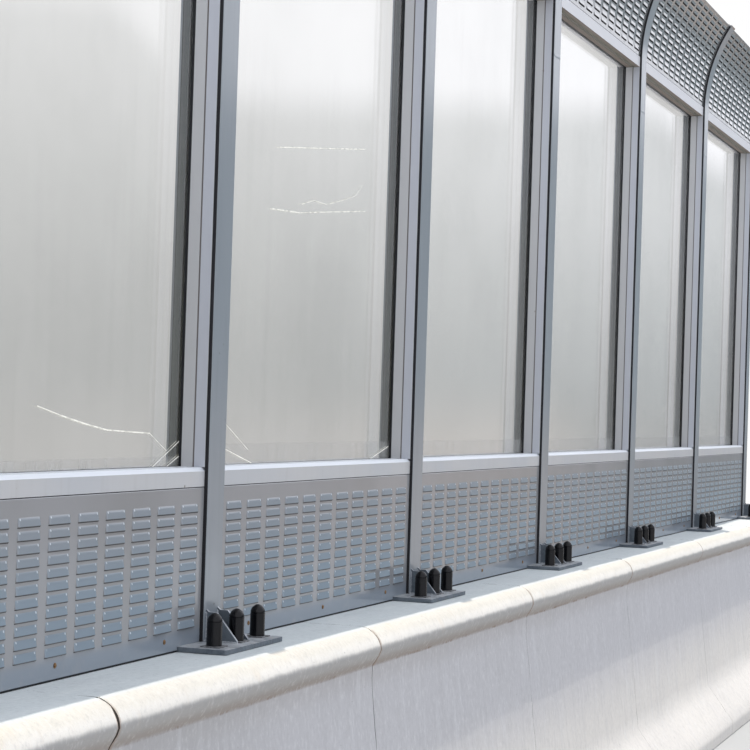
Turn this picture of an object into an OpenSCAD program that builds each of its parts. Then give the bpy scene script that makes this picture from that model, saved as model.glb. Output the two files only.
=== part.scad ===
// Roadside noise barrier on a concrete parapet: seven H-section posts with
// curved heads, louvred absorbing panels below, framed clear panes in the
// middle and curved louvred panels on top. X runs along the barrier, the road
// lies on the -Y side, Z is up. Everything is in millimetres.

/* [Layout] */
// Number of whole bays
bays = 6; // [1:1:6]
// Distance from one post to the next
bay_length = 2000; // [1500:10:3000]

/* [Parapet] */
// Height from the road to the flat top
parapet_height = 1192; // [900:1:1400]
// Reach of the plain back behind the post face
back_reach = 330; // [310:1:450]
// Upright face under the nose, in front of the post face
face_reach = 257; // [240:1:300]
// How far the rounded nose stands out from that face
nose_overhang = 31; // [10:1:40]
// Radius of the rounded top of the nose
nose_round = 78; // [60:1:100]
// Depth of the crease under the nose below the flat top
crease_depth = 133; // [110:1:160]
// Depth at which the face begins to lean out
lean_depth = 205; // [170:1:260]
// How far the leaning face runs out
lean_run = 83; // [40:1:120]
// Height of the leaning face
lean_height = 691; // [550:1:720]
// How far the sloping foot runs out
slope_run = 160; // [100:1:220]
// Height of the sloping foot
slope_height = 211; // [120:1:240]
// Length of concrete beyond the end posts
parapet_overrun = 250; // [230:1:400]
// Distance from a post to the next joint in the concrete
joint_offset = 810; // [300:5:1700]
// Open joint between two lengths of concrete
joint_gap = 6; // [2:0.5:20]

/* [Posts] */
// Width of the post flanges
flange_width = 125; // [100:1:200]
// Depth of the post section
post_depth = 150; // [120:1:200]
// Thickness of the flanges
flange_thickness = 9; // [6:0.5:14]
// Thickness of the web
web_thickness = 7; // [5:0.5:12]
// Height of the straight part above the concrete
straight_height = 2875; // [2500:5:3000]
// Radius of the curved head at the front face
head_radius = 1046; // [800:1:1500]
// Angle through which the head curves
head_angle = 33; // [15:0.5:60]
// Distance of the butt weld below the start of the curve
splice_drop = 303; // [100:1:900]
// Radius of that weld bead
weld_bead = 4; // [2:0.5:8]
// How far the bead stands out from the flange
weld_stand = 1.5; // [0.5:0.1:3]

/* [Base plates] */
// Length of the base plate along the barrier
plate_length = 450; // [350:5:500]
// How far the base plate stands out from the post, front and back
plate_reach = 152; // [120:1:160]
// Thickness of the base plate
plate_thickness = 16; // [10:1:30]
// Distance between the two ribs of a pair, centre to centre
rib_spacing = 86; // [60:1:110]
// Thickness of a rib
rib_thickness = 10; // [6:0.5:16]
// Height of a rib above the plate
rib_height = 93; // [60:1:150]
// Reach of a rib at the plate
rib_reach = 109; // [80:1:140]
// Level top of a rib
rib_top = 36; // [15:1:60]
// Leg of the fillet weld on top of a rib
weld_leg = 11; // [4:0.5:14]

/* [Anchor caps] */
// Distance from one anchor to the next along the barrier
cap_spacing = 168; // [140:1:190]
// Distance of the anchors from the post face
cap_reach = 85; // [70:1:100]
// Radius of a cap
cap_radius = 24.5; // [15:0.5:30]
// Height of a cap with its dome
cap_height = 101; // [60:1:140]
// Side of the square washer under a cap
washer_side = 64; // [56:1:80]
// Thickness of that washer
washer_thickness = 4; // [3:0.5:8]

/* [Lower panels] */
// Height of the top edge of the panel above the concrete
panel_top = 500; // [400:5:700]
// Depth of the panels and of the glazing frames
panel_depth = 125; // [80:1:130]
// Gap between the end of a panel and the web
end_gap = 3; // [1:0.5:6]
// Height of the seal below the panel
foot_seal = 5; // [3:0.5:10]

/* [Louvres] */
// Number of louvres in a row
louvre_columns = 11; // [6:1:12]
// Distance from one louvre to the next along a row
louvre_pitch = 166; // [130:0.5:180]
// Number of rows on a lower panel
louvre_rows = 11; // [6:1:12]
// Distance from one row of a lower panel to the next
row_pitch = 35.65; // [32:0.05:40]
// Width of a louvre
louvre_width = 122; // [90:1:140]
// Height of a louvre
louvre_height = 26; // [18:0.5:30]
// How far the lip of a louvre stands out
louvre_lip = 5.5; // [4:0.5:12]
// How much narrower a louvre is at its top, on each side
louvre_corner = 4; // [3:0.5:12]
// Sheet thickness
sheet = 1.5; // [1:0.1:3]
// Depth of the hollow behind a louvre
louvre_hollow = 10; // [5:0.5:20]
// Height of the lip of the lowest row above the concrete
lowest_row = 67.5; // [35:0.5:90]

/* [Glazing] */
// Height of the face of a frame rail
rail_height = 60; // [40:1:90]
// Height of the bevel on top of the lower rail
rail_bevel = 12; // [4:1:20]
// Distance of the top edge of the frame above the start of the curve
frame_rise = 15; // [0:1:60]
// Distance of the pane from the front of the frame
pane_setback = 91; // [60:1:100]
// Thickness of the pane
pane_thickness = 10; // [5:0.5:15]
// Depth of the pane in its groove
pane_bite = 14; // [8:1:25]
// Width of the glazing strip in front of the pane
glazing_strip = 8; // [4:0.5:12]
// Width of the joint in the reveal
reveal_joint = 5; // [2:0.5:8]
// Distance of that joint from the front of the frame
reveal_joint_setback = 38; // [20:1:60]
// Joint between the rails and the stiles of a frame
frame_joint = 0.3; // [0.1:0.1:1]

/* [Curved panels] */
// Number of louvre rows on a curved panel
curved_rows = 15; // [8:1:16]
// Height of the lip of the lowest row above the frame
curved_margin = 28.5; // [20:0.5:60]
// Clear sheet above the top row of a curved panel
curved_top = 14.2; // [5:0.1:60]
// How far the post head runs past the panel, as an angle
head_overrun = 0.5; // [0.2:0.1:2]

/* [Seals] */
// Thickness of the strip between flange and panel
front_seal = 3; // [2:0.5:6]
// Thickness of the strip between a panel and the one above
bed_seal = 2; // [1:0.5:4]
// Width of a strip behind a flange
seal_width = 22; // [12:1:30]
// How far the strip shows past the edge of the flange
seal_show = 1; // [0:0.5:3]

/* [Show] */
// One node by its name, or all

/* [Hidden] */
$fn = 48;
head_steps = 720;
eps = 0.2;

// Posts and bays stand evenly about X = 0.
posts = bays + 1;
row_length = bays * bay_length;

// Parapet, measured from the post face and the flat top.
parapet_end = row_length / 2 + parapet_overrun;
nose_reach = face_reach + nose_overhang;
slope_reach = face_reach + lean_run;
foot_reach = slope_reach + slope_run;
slope_depth = lean_depth + lean_height;
foot_depth = slope_depth + slope_height;
first_joint = -row_length / 2 + joint_offset;
// The post face is set off so that the whole part is centred in Y.
post_face_y = (foot_reach - back_reach) / 2;

// Panel depths, measured from the post face.
panel_front = flange_thickness + front_seal;
panel_back = panel_front + panel_depth;
panel_end = web_thickness / 2 + end_gap;
panel_length = bay_length - 2 * panel_end;
plate_clear = plate_length / 2 + 2;

// Frame levels above the concrete.
frame_top = straight_height + frame_rise;
frame_bottom = panel_top + bed_seal;
sight_bottom = frame_bottom + rail_height;
sight_top = frame_top - rail_height;
stile_width = rail_height;
pane_front = panel_front + pane_setback;
pane_back = pane_front + pane_thickness;

// Curved heads turn about a line in front of the posts.
head_centre = [-head_radius, straight_height];
curved_front = head_radius + panel_front;
curved_bottom = frame_top + bed_seal;
curved_end = head_angle - head_overrun;
first_curved = asin((curved_bottom + curved_margin - straight_height) / curved_front);
// The rows share out the arc between the two margins.
last_curved = curved_end - (louvre_height + curved_top) / curved_front * 180 / PI;
curved_step = (last_curved - first_curved) / (curved_rows - 1);

// Colours for the preview.
concrete_grey = [0.78, 0.77, 0.75];
steel_grey = [0.55, 0.57, 0.62];
plate_grey = [0.62, 0.64, 0.66];
rail_grey = [0.80, 0.80, 0.80];
sheet_grey = [0.60, 0.63, 0.68];
rubber_black = [0.10, 0.10, 0.11];
pane_tint = [0.75, 0.88, 0.85, 0.5];

function post_x(i) = -row_length / 2 + (i - 1) * bay_length;
function bay_x(i) = post_x(i) + bay_length / 2;

// Moves a piece from the post face and flat top to the part's own place.
module on_parapet() {
    translate([0, post_face_y, parapet_height])
        children();
}

// Turns a section drawn as (depth behind the post face, height) into a bar
// of the given length, centred along X.
module bar(length) {
    rotate([90, 0, 90])
        linear_extrude(height = length, center = true)
            children();
}

// Section of the concrete: rounded nose, leaning face, sloping foot and kerb.
module parapet_section() {
    polygon([
        [back_reach, 0],
        [nose_round - nose_reach, 0],
        [nose_round - nose_reach, -nose_round],
        [-nose_reach, -nose_round],
        [-face_reach, -crease_depth],
        [-face_reach, -lean_depth],
        [-slope_reach, -slope_depth],
        [-foot_reach, -foot_depth],
        [-foot_reach, -parapet_height],
        [back_reach, -parapet_height]
    ]);
    intersection() {
        translate([nose_round - nose_reach, -nose_round])
            circle(r = nose_round);
        translate([-nose_reach, -nose_round])
            square(nose_round);
    }
}

// The concrete lies in lengths with open joints between them.
module parapet() {
    color(concrete_grey)
        on_parapet()
            difference() {
                bar(2 * parapet_end)
                    parapet_section();
                for (k = [0 : bays - 1])
                    translate([first_joint + k * bay_length - joint_gap / 2,
                               -foot_reach - 10, -parapet_height - 10])
                        cube([joint_gap, foot_reach + back_reach + 20, parapet_height + 20]);
            }
}

// One rib of a pair, with the fillet weld on its top, standing to -Y.
module rib() {
    bar(rib_thickness)
        polygon([
            [0, plate_thickness],
            [0, plate_thickness + rib_height + weld_leg],
            [-weld_leg, plate_thickness + rib_height],
            [-rib_top, plate_thickness + rib_height],
            [-rib_reach, plate_thickness + 6],
            [-rib_reach, plate_thickness]
        ]);
}

// A plate under the post with two ribs in front and two behind.
module base_plate(i) {
    color(plate_grey)
        on_parapet()
            translate([post_x(i), 0, 0]) {
                translate([-plate_length / 2, -plate_reach, 0])
                    cube([plate_length, post_depth + 2 * plate_reach, plate_thickness]);
                for (side = [-1, 1])
                    translate([side * rib_spacing / 2, 0, 0]) {
                        rib();
                        translate([0, post_depth, 0])
                            mirror([0, 1, 0])
                                rib();
                    }
            }
}

// H section drawn with its front face on the X axis.
module post_section() {
    translate([-flange_width / 2, 0])
        square([flange_width, flange_thickness]);
    translate([-web_thickness / 2, 0])
        square([web_thickness, post_depth]);
    translate([-flange_width / 2, post_depth - flange_thickness])
        square([flange_width, flange_thickness]);
}

// Sweeps a section drawn as (X, depth) round the head from one angle to another.
module head_sweep(from, to) {
    translate([0, head_centre[0], head_centre[1]])
        rotate([90, 0, 90])
            rotate([0, 0, from])
                rotate_extrude(angle = to - from, $fn = head_steps)
                    translate([head_radius, 0])
                        rotate([0, 0, 90])
                            mirror([0, 1])
                                children();
}

// A straight H section with a curved head and a butt weld below it.
module post(i) {
    color(steel_grey)
        on_parapet()
            translate([post_x(i), 0, 0]) {
                translate([0, 0, plate_thickness])
                    linear_extrude(height = straight_height - plate_thickness)
                        post_section();
                head_sweep(0, head_angle)
                    post_section();
                for (depth = [weld_bead - weld_stand, post_depth - weld_bead + weld_stand])
                    translate([0, depth, straight_height - splice_drop])
                        rotate([0, 90, 0])
                            cylinder(r = weld_bead, h = flange_width - 2, center = true);
            }
}

// Places something at every anchor, front and back.
module at_anchors() {
    on_parapet()
        for (i = [1 : posts])
            for (k = [-1 : 1])
                for (y = [-cap_reach, post_depth + cap_reach])
                    translate([post_x(i) + k * cap_spacing, y, plate_thickness])
                        children();
}

// Square washers under the caps.
module anchor_washers() {
    color(plate_grey)
        at_anchors()
            translate([-washer_side / 2, -washer_side / 2, 0])
                cube([washer_side, washer_side, washer_thickness]);
}

// Domed covers over the anchor nuts, with a small step under the dome.
module anchor_caps() {
    color(rubber_black)
        at_anchors()
            translate([0, 0, washer_thickness]) {
                cylinder(r = cap_radius, h = cap_height - cap_radius);
                translate([0, 0, cap_height - cap_radius])
                    sphere(r = cap_radius - 0.8);
            }
}

// Louvre section drawn as (outward, up), with its lip on the X axis: a flat
// slope from the sheet down to a lip one sheet thick.
module hood_section() {
    polygon([
        [-sheet, 0],
        [louvre_lip, 0],
        [louvre_lip, sheet],
        [0, louvre_height],
        [-sheet, louvre_height]
    ]);
}

// Outline of a louvre from the front, narrower at the top.
module hood_outline() {
    half = louvre_width / 2;
    polygon([
        [-half, -1],
        [louvre_corner - half, louvre_height + 1],
        [half - louvre_corner, louvre_height + 1],
        [half, -1]
    ]);
}

function louvre_x(c) = (c - (louvre_columns - 1) / 2) * louvre_pitch;

// A row of louvres standing out to -Y from the plane Y = 0, lips at Z = 0.
module louvre_row() {
    intersection() {
        rotate([90, 0, -90])
            linear_extrude(height = panel_length - 40, center = true)
                hood_section();
        for (c = [0 : louvre_columns - 1])
            translate([louvre_x(c), 1, 0])
                rotate([90, 0, 0])
                    linear_extrude(height = louvre_lip + 3)
                        hood_outline();
    }
}

// The hollows under that row, open at the lips and running back into the sheet.
module louvre_hollows() {
    for (c = [0 : louvre_columns - 1])
        translate([louvre_x(c), 0, 0])
            rotate([90, 0, -90])
                linear_extrude(height = louvre_width - 2 * louvre_corner - 2, center = true)
                    polygon([
                        [louvre_lip - sheet, -eps],
                        [-louvre_hollow, louvre_height * 0.7],
                        [1, -eps]
                    ]);
}

// A closed absorbing panel with louvres on the road side. Its lower corners
// are notched to sit on the base plates.
module lower_panel(i) {
    color(sheet_grey)
        on_parapet()
            translate([bay_x(i), 0, 0])
                difference() {
                    union() {
                        translate([-panel_length / 2, panel_front, foot_seal])
                            cube([panel_length, panel_depth, panel_top - foot_seal]);
                        for (r = [0 : louvre_rows - 1])
                            translate([0, panel_front, lowest_row + r * row_pitch])
                                louvre_row();
                    }
                    for (side = [-1, 1])
                        translate([side * bay_length / 2 - plate_clear, panel_front - 1, 0])
                            cube([2 * plate_clear, panel_depth + 2, plate_thickness]);
                    for (r = [0 : louvre_rows - 1])
                        translate([0, panel_front, lowest_row + r * row_pitch])
                            louvre_hollows();
                }
}

// Section of the curved panel, cut level at its foot and square at its end.
module curved_section() {
    intersection() {
        difference() {
            circle(r = curved_front + panel_depth, $fn = head_steps);
            circle(r = curved_front, $fn = head_steps);
        }
        translate([0, curved_bottom - straight_height])
            square([2 * head_radius, head_radius]);
        rotate(curved_end - 90)
            square(2 * head_radius);
    }
}

// The same louvres on a sheet that follows the curved heads.
module curved_panel(i) {
    color(sheet_grey)
        on_parapet()
            translate([bay_x(i), head_centre[0], head_centre[1]])
                difference() {
                    union() {
                        bar(panel_length)
                            curved_section();
                        for (r = [0 : curved_rows - 1])
                            rotate([first_curved + r * curved_step, 0, 0])
                                translate([0, curved_front, 0])
                                    louvre_row();
                    }
                    for (r = [0 : curved_rows - 1])
                        rotate([first_curved + r * curved_step, 0, 0])
                            translate([0, curved_front, 0])
                                louvre_hollows();
                }
}

// Section of the lower rail as (depth, height above its underside).
module rail_section() {
    difference() {
        polygon([
            [panel_front, 0],
            [panel_front, rail_height - rail_bevel],
            [panel_front + rail_bevel, rail_height],
            [panel_back, rail_height],
            [panel_back, 0]
        ]);
        translate([pane_front - glazing_strip, rail_height - pane_bite])
            square([pane_thickness + glazing_strip, pane_bite + 1]);
        translate([panel_front + reveal_joint_setback, rail_height - 3])
            square([reveal_joint, 4]);
    }
}

// Rails and stiles of one frame, grooved for the pane. The rails run through
// and the stiles stand between them with a fine joint.
module glazing_frame(i) {
    color(rail_grey)
        on_parapet()
            translate([bay_x(i), 0, 0]) {
                translate([0, 0, frame_bottom])
                    bar(panel_length)
                        rail_section();
                translate([0, 0, frame_top])
                    mirror([0, 0, 1])
                        bar(panel_length)
                            frame_section();
                for (side = [0, 1])
                    mirror([side, 0, 0])
                        translate([-panel_length / 2, 0, sight_bottom + frame_joint])
                            linear_extrude(height = sight_top - sight_bottom - 2 * frame_joint)
                                mirror([1, -1, 0])
                                    frame_section();
            }
}

// Section of the stiles and of the top rail, without the bevel.
module frame_section() {
    difference() {
        translate([panel_front, 0])
            square([panel_depth, rail_height]);
        translate([pane_front - glazing_strip, rail_height - pane_bite])
            square([pane_thickness + glazing_strip, pane_bite + 1]);
        translate([panel_front + reveal_joint_setback, rail_height - 3])
            square([reveal_joint, 4]);
    }
}

// A clear pane standing in its grooves.
module pane(i) {
    color(pane_tint)
        on_parapet()
            translate([bay_x(i), 0, 0])
                translate([-(panel_length / 2 - stile_width + pane_bite), pane_front,
                           sight_bottom - pane_bite])
                    cube([panel_length - 2 * stile_width + 2 * pane_bite, pane_thickness,
                          sight_top - sight_bottom + 2 * pane_bite]);
}

// Black strips that press each pane back in its groove.
module glazing_strips() {
    long = panel_length - 2 * stile_width;
    high = sight_top - sight_bottom;
    color(rubber_black)
        on_parapet()
            for (i = [1 : bays])
                translate([bay_x(i), pane_front - glazing_strip, sight_bottom])
                    difference() {
                        translate([-long / 2 - pane_bite, 0, -pane_bite])
                            cube([long + 2 * pane_bite, glazing_strip, high + 2 * pane_bite]);
                        translate([-long / 2 + 1, -1, 1])
                            cube([long - 2, glazing_strip + 2, high - 2]);
                    }
}

// Strips between the flanges and the panel ends, in front and behind.
module upright_seals() {
    color(rubber_black)
        on_parapet()
            for (i = [1 : bays])
                for (depth = [flange_thickness, panel_back]) {
                    translate([post_x(i), 0, 0])
                        seal_strip(1, depth);
                    translate([post_x(i + 1), 0, 0])
                        seal_strip(-1, depth);
                }
}

// One strip from the base plate to the end of the curved panel.
module seal_strip(side, depth) {
    thick = depth < panel_back ? front_seal : post_depth - flange_thickness - panel_back;
    translate([0, 0, plate_thickness])
        linear_extrude(height = straight_height - plate_thickness)
            seal_section(side, depth, thick);
    head_sweep(0, curved_end)
        seal_section(side, depth, thick);
}

// Section of a strip whose edge shows past the edge of the flange.
module seal_section(side, depth, thick) {
    start = flange_width / 2 + seal_show - seal_width;
    translate([side > 0 ? start : -start - seal_width, depth])
        square([seal_width, thick]);
}

// Level strips under the lower panels, under the frames and under the curved panels.
module bed_seals() {
    long = bay_length - 2 * plate_clear;
    color(rubber_black)
        on_parapet()
            for (i = [1 : bays])
                translate([bay_x(i), 0, 0]) {
                    translate([-long / 2, panel_front + 1, 0])
                        cube([long, panel_depth - 2, foot_seal]);
                    translate([-panel_length / 2, panel_front + 2, panel_top])
                        cube([panel_length, panel_depth - 4, bed_seal]);
                    translate([-panel_length / 2, panel_front + 2, frame_top])
                        cube([panel_length, panel_depth - 4, bed_seal]);
                }
}

parapet();
base_plate(1);  // base_plate_1
base_plate(2);  // base_plate_2
base_plate(3);  // base_plate_3
base_plate(4);  // base_plate_4
base_plate(5);  // base_plate_5
base_plate(6);  // base_plate_6
base_plate(7);  // base_plate_7
post(1);  // post_1
post(2);  // post_2
post(3);  // post_3
post(4);  // post_4
post(5);  // post_5
post(6);  // post_6
post(7);  // post_7
anchor_caps();
anchor_washers();
lower_panel(1);  // lower_panel_1
lower_panel(2);  // lower_panel_2
lower_panel(3);  // lower_panel_3
lower_panel(4);  // lower_panel_4
lower_panel(5);  // lower_panel_5
lower_panel(6);  // lower_panel_6
glazing_frame(1);  // glazing_frame_1
glazing_frame(2);  // glazing_frame_2
glazing_frame(3);  // glazing_frame_3
glazing_frame(4);  // glazing_frame_4
glazing_frame(5);  // glazing_frame_5
glazing_frame(6);  // glazing_frame_6
pane(1);  // pane_1
pane(2);  // pane_2
pane(3);  // pane_3
pane(4);  // pane_4
pane(5);  // pane_5
pane(6);  // pane_6
curved_panel(1);  // curved_panel_1
curved_panel(2);  // curved_panel_2
curved_panel(3);  // curved_panel_3
curved_panel(4);  // curved_panel_4
curved_panel(5);  // curved_panel_5
curved_panel(6);  // curved_panel_6
glazing_strips();
upright_seals();
bed_seals();
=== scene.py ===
import math

import bpy
import numpy as np
from mathutils import Matrix, Vector


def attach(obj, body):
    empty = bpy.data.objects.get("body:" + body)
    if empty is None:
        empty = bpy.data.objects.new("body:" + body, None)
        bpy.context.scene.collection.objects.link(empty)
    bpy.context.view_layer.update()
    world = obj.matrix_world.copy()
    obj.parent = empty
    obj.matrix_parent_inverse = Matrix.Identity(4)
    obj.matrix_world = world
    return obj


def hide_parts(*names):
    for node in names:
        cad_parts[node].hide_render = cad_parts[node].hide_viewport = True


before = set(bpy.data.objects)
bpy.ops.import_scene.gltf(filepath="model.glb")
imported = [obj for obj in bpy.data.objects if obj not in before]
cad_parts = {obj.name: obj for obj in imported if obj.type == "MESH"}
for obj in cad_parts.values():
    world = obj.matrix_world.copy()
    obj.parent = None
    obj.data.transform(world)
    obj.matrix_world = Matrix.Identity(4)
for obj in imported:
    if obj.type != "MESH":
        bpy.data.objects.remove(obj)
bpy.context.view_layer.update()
print("frame loaded:", len(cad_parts), "nodes")

# The row as the part's source has it, in metres. Depths run back from the
# post face, heights run up from the flat top of the concrete.
row = {
    "bays": 6,
    "bayLength": 2.0,
    "endX": 6.25,
    "faceY": 0.085,
    "topZ": 1.192,
    "panelFront": 0.012,
    "panelDepth": 0.125,
    "panelHalf": 0.9935,
    "bend": 2.875,       # height where the curved heads start
    "headRadius": 1.046,
    "headAngle": 33.0,   # degrees
}
rowStart = -row["bays"] * row["bayLength"] / 2
postPlaces = [rowStart + k * row["bayLength"] for k in range(row["bays"] + 1)]
bayPlaces = [x + row["bayLength"] / 2 for x in postPlaces[:-1]]


louvre = {
    "columns": 11,
    "pitch": 0.166,      # from column to column
    "width": 0.122,
    "height": 0.026,
    "lip": 0.0055,
    "corner": 0.0025,    # how much narrower it is at its top, on each side
    "round": 0.0060,     # radius of the upper corners
    "sheet": 0.0014,     # thickness of the sheet
    "slit": 0.0022,      # how far the slit runs below the lip
    "curvedSlit": 0.0070,
    # share of the lip's reach at each share of the hood's height
    "flat": [(0, 1.0), (0.05, 0.985), (0.40, 0.68), (0.68, 0.41), (0.82, 0.26), (0.91, 0.12), (1.0, 0.0)],
    "drawn": [(0, 0.80), (0.05, 0.785), (0.33, 0.436), (0.60, 0.10), (0.68, 0.055), (0.82, 0.02), (1.0, 0.0)],
    "flanks": [(0, 0), (0.0010, 0.36), (0.0026, 0.68), (0.0050, 0.90), (0.0085, 1.0)],   # in from each side
    "rowPitch": 0.03565,
    "hollow": 0.009,
    "roofShare": 0.72,   # of the height, where the hollow's roof meets its back
    "sheetStep": 0.013,  # longest step of the sheet's mesh
    "lowerRows": 11,
    "lowerFirst": 0.0675,
    "lowerFoot": 0.005,
    "lowerTop": 0.500,
    "curvedRows": 15,
    "curvedMargin": 0.0285,
    "curvedTop": 0.0142,
    "curvedBottom": 2.892,
    "curvedEnd": 32.5,   # degrees round the head
    "edge": 0.003,
}


def place(x, depth, height):
    return (x, row["faceY"] + depth, row["topZ"] + height)


headFront = row["headRadius"] + row["panelFront"]   # radius of the curved panels' faces


def curvedArc(height, behind=0.0):
    # length of arc on such a face up to a level, also of a point behind the face
    return headFront * math.asin((height - row["bend"]) / (headFront + behind))


def curvedSpacing():
    # the arc up to the first louvre, and from row to row so that they fill it
    first = curvedArc(louvre["curvedBottom"] + louvre["curvedMargin"])
    end = headFront * math.radians(louvre["curvedEnd"])
    return first, (end - louvre["height"] - louvre["curvedTop"] - first) / (louvre["curvedRows"] - 1)


# Camera

cameraSetup = {
    "place": (-9.9231, -2.5701, 1.9594),
    "yaw": 0.345740592,      # radians
    "pitch": 0.0157836484,
    "roll": 0.0317079673,
    "lens": 98.05,
    "sensor": 36,
}


def makeCamera():
    yaw, pitch, roll = (cameraSetup[k] for k in ("yaw", "pitch", "roll"))
    ahead = Vector((math.cos(yaw) * math.cos(pitch), math.sin(yaw) * math.cos(pitch), math.sin(pitch)))
    right = ahead.cross(Vector((0, 0, 1))).normalized()
    up = right.cross(ahead)
    right, up = (math.cos(roll) * right + math.sin(roll) * up,
                 math.cos(roll) * up - math.sin(roll) * right)
    data = bpy.data.cameras.new("photoCamera")
    data.lens = cameraSetup["lens"]
    data.sensor_width = cameraSetup["sensor"]
    camera = bpy.data.objects.new("photoCamera", data)
    bpy.context.scene.collection.objects.link(camera)
    turn = Matrix((right, up, -ahead)).transposed().to_4x4()
    camera.matrix_world = Matrix.Translation(cameraSetup["place"]) @ turn
    bpy.context.scene.camera = camera


makeCamera()
bpy.context.scene.view_settings.view_transform = "Standard"
print("camera ready")


# Shader sums

def sumPair(operation):
    # a sum for a socket on its left side, and one for a socket on its right side
    return (lambda self, other: self.maths(operation, self, other),
            lambda self, other: self.maths(operation, other, self))


class Sock:
    # an output socket that can be used in sums
    def __init__(self, nodes, socket):
        self.nodes = nodes
        self.socket = socket

    def maths(self, operation, *values):
        return self.nodes.node("ShaderNodeMath", {"operation": operation}, dict(enumerate(values)))

    __add__, __radd__ = sumPair("ADD")
    __sub__, __rsub__ = sumPair("SUBTRACT")
    __mul__, __rmul__ = sumPair("MULTIPLY")
    __pow__ = sumPair("POWER")[0]
    lesser = sumPair("MINIMUM")[0]
    greater = sumPair("MAXIMUM")[0]

    def __abs__(self):
        return self.maths("ABSOLUTE", self)

    def wrap(self, reach):
        # the same number brought between -reach and reach in equal steps
        return self.maths("WRAP", self, reach, -reach)

    def step(self, low, high):
        # 0 below low, 1 above high, smooth between them; turned round when low is higher
        settings = {"interpolation_type": "SMOOTHSTEP"}
        if low > high:
            return 1 - self.step(high, low)
        values = {"Value": self, "From Min": low, "From Max": high}
        return self.nodes.node("ShaderNodeMapRange", settings, values)


class Nodes:
    # a node tree with one way to add any node
    def __init__(self, tree):
        self.tree = tree
        tree.nodes.clear()

    def node(self, kind, settings=None, values=None, out=0):
        made = self.tree.nodes.new(kind)
        for name, value in (settings or {}).items():
            setattr(made, name, value)
        for name, value in (values or {}).items():
            if isinstance(value, Sock):
                self.tree.links.new(value.socket, made.inputs[name])
            else:
                made.inputs[name].default_value = value
        return Sock(self, made.outputs[out]) if made.outputs else made

    def tone(self, colour):
        return colour if isinstance(colour, Sock) else (*colour, 1)

    def mix(self, share, first, second, blend="MIX"):
        settings = {"data_type": "RGBA", "blend_type": blend, "clamp_factor": True}
        values = {0: share, 6: self.tone(first), 7: self.tone(second)}
        return self.node("ShaderNodeMix", settings, values, out=2)

    def spot(self, stretch=(1, 1, 1)):
        # the point of the surface in metres, stretched along the axes
        point = self.node("ShaderNodeNewGeometry", out=0)
        if stretch == (1, 1, 1):
            return point
        return self.node("ShaderNodeVectorMath", {"operation": "MULTIPLY"}, {0: point, 1: stretch})

    def axis(self, number, vector=None):
        vector = vector or self.spot()
        return self.node("ShaderNodeSeparateXYZ", None, {0: vector}, out=number)

    def facing(self, number):
        return self.axis(number, self.node("ShaderNodeNewGeometry", out=1))

    def noise(self, scale, detail=3.0, rough=0.5, stretch=(1, 1, 1), warp=0.0):
        values = {"Vector": self.spot(stretch), "Scale": scale, "Detail": detail,
                  "Roughness": rough, "Distortion": warp}
        return self.node("ShaderNodeTexNoise", None, values)

    def cells(self, scale):
        return self.node("ShaderNodeTexVoronoi", None, {"Vector": self.spot(), "Scale": scale})


class Finish(Nodes):
    # a material with one Principled shader, whose colour is laid on tone by tone
    def __init__(self, name, tones, **fixed):
        self.tones = tones
        self.material = bpy.data.materials.new(name)
        self.material.use_nodes = True
        super().__init__(self.material.node_tree)
        self.shader = self.node("ShaderNodeBsdfPrincipled", None, fixed)
        self.end = self.node("ShaderNodeOutputMaterial", None, {"Surface": self.shader})

    def give(self, name, value):
        target = self.shader.socket.node.inputs[name]
        if isinstance(value, Sock):
            self.tree.links.new(value.socket, target)
        else:
            target.default_value = value

    def mirror(self, share, rough):
        # lets a clear sheet mirror on both of its faces, more so at a flat angle
        turned = self.node("ShaderNodeLayerWeight", None, {"Blend": 0.5}, out=1)
        glossy = self.node("ShaderNodeBsdfGlossy", None, {"Roughness": rough})
        values = {0: (0.04 + turned ** 5 * 0.96) * share, 1: self.shader, 2: glossy}
        both = self.node("ShaderNodeMixShader", None, values)
        self.tree.links.new(both.socket, self.end.inputs["Surface"])

    def tone(self, colour):
        return super().tone(self.tones.get(colour, colour))

    def lay(self, share, over, under=None):
        # one more tone over the colour so far
        self.colour = self.mix(share, under or self.colour, over)

    def close(self, rough, height, distance, strength):
        # gives the shader the colour so far, its roughness and its bumps
        values = {"Height": height, "Distance": distance, "Strength": strength}
        self.give("Base Color", self.colour)
        self.give("Roughness", rough)
        self.give("Normal", self.node("ShaderNodeBump", None, values))
        return self.material


# Finishes

concreteJoint = -5.19   # the first joint
concreteStep = 2.0      # from joint to joint
concreteTones = {
    "nose": (0.715, 0.675, 0.60),
    "noseSunlitBand": (0.86, 0.82, 0.76),
    "under": (0.435, 0.42, 0.405),
    "crease": (0.37, 0.33, 0.30),
    "top": (0.70, 0.725, 0.715),
    "face": (0.560, 0.545, 0.556),
    "foot": (0.74, 0.70, 0.655),
    "shade": (0.40, 0.37, 0.35),
    "nearEnd": (0.40, 0.39, 0.385),
    "cloud": (0.48, 0.47, 0.46),
    "blotch": (0.44, 0.43, 0.42),
    "darkMottle": (0.36, 0.35, 0.35),
    "paleMottle": (0.88, 0.87, 0.86),
    "streak": (0.42, 0.41, 0.415),
    "streakShare": 0.25,
    "paleRun": (0.78, 0.78, 0.79),
    "stroke": (0.80, 0.81, 0.79),
    "damp": (0.45, 0.46, 0.47),
    "drip": (0.36, 0.32, 0.29),
    "warm": (0.74, 0.60, 0.44),
    "brownRun": (0.62, 0.50, 0.39),
    "rust": (0.34, 0.23, 0.16),
    "inside": (0.06, 0.05, 0.045),
    "creaseShadeAndStain": (0.24, 0.17, 0.12),
    "dark": (0.16, 0.14, 0.12),
}


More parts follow.
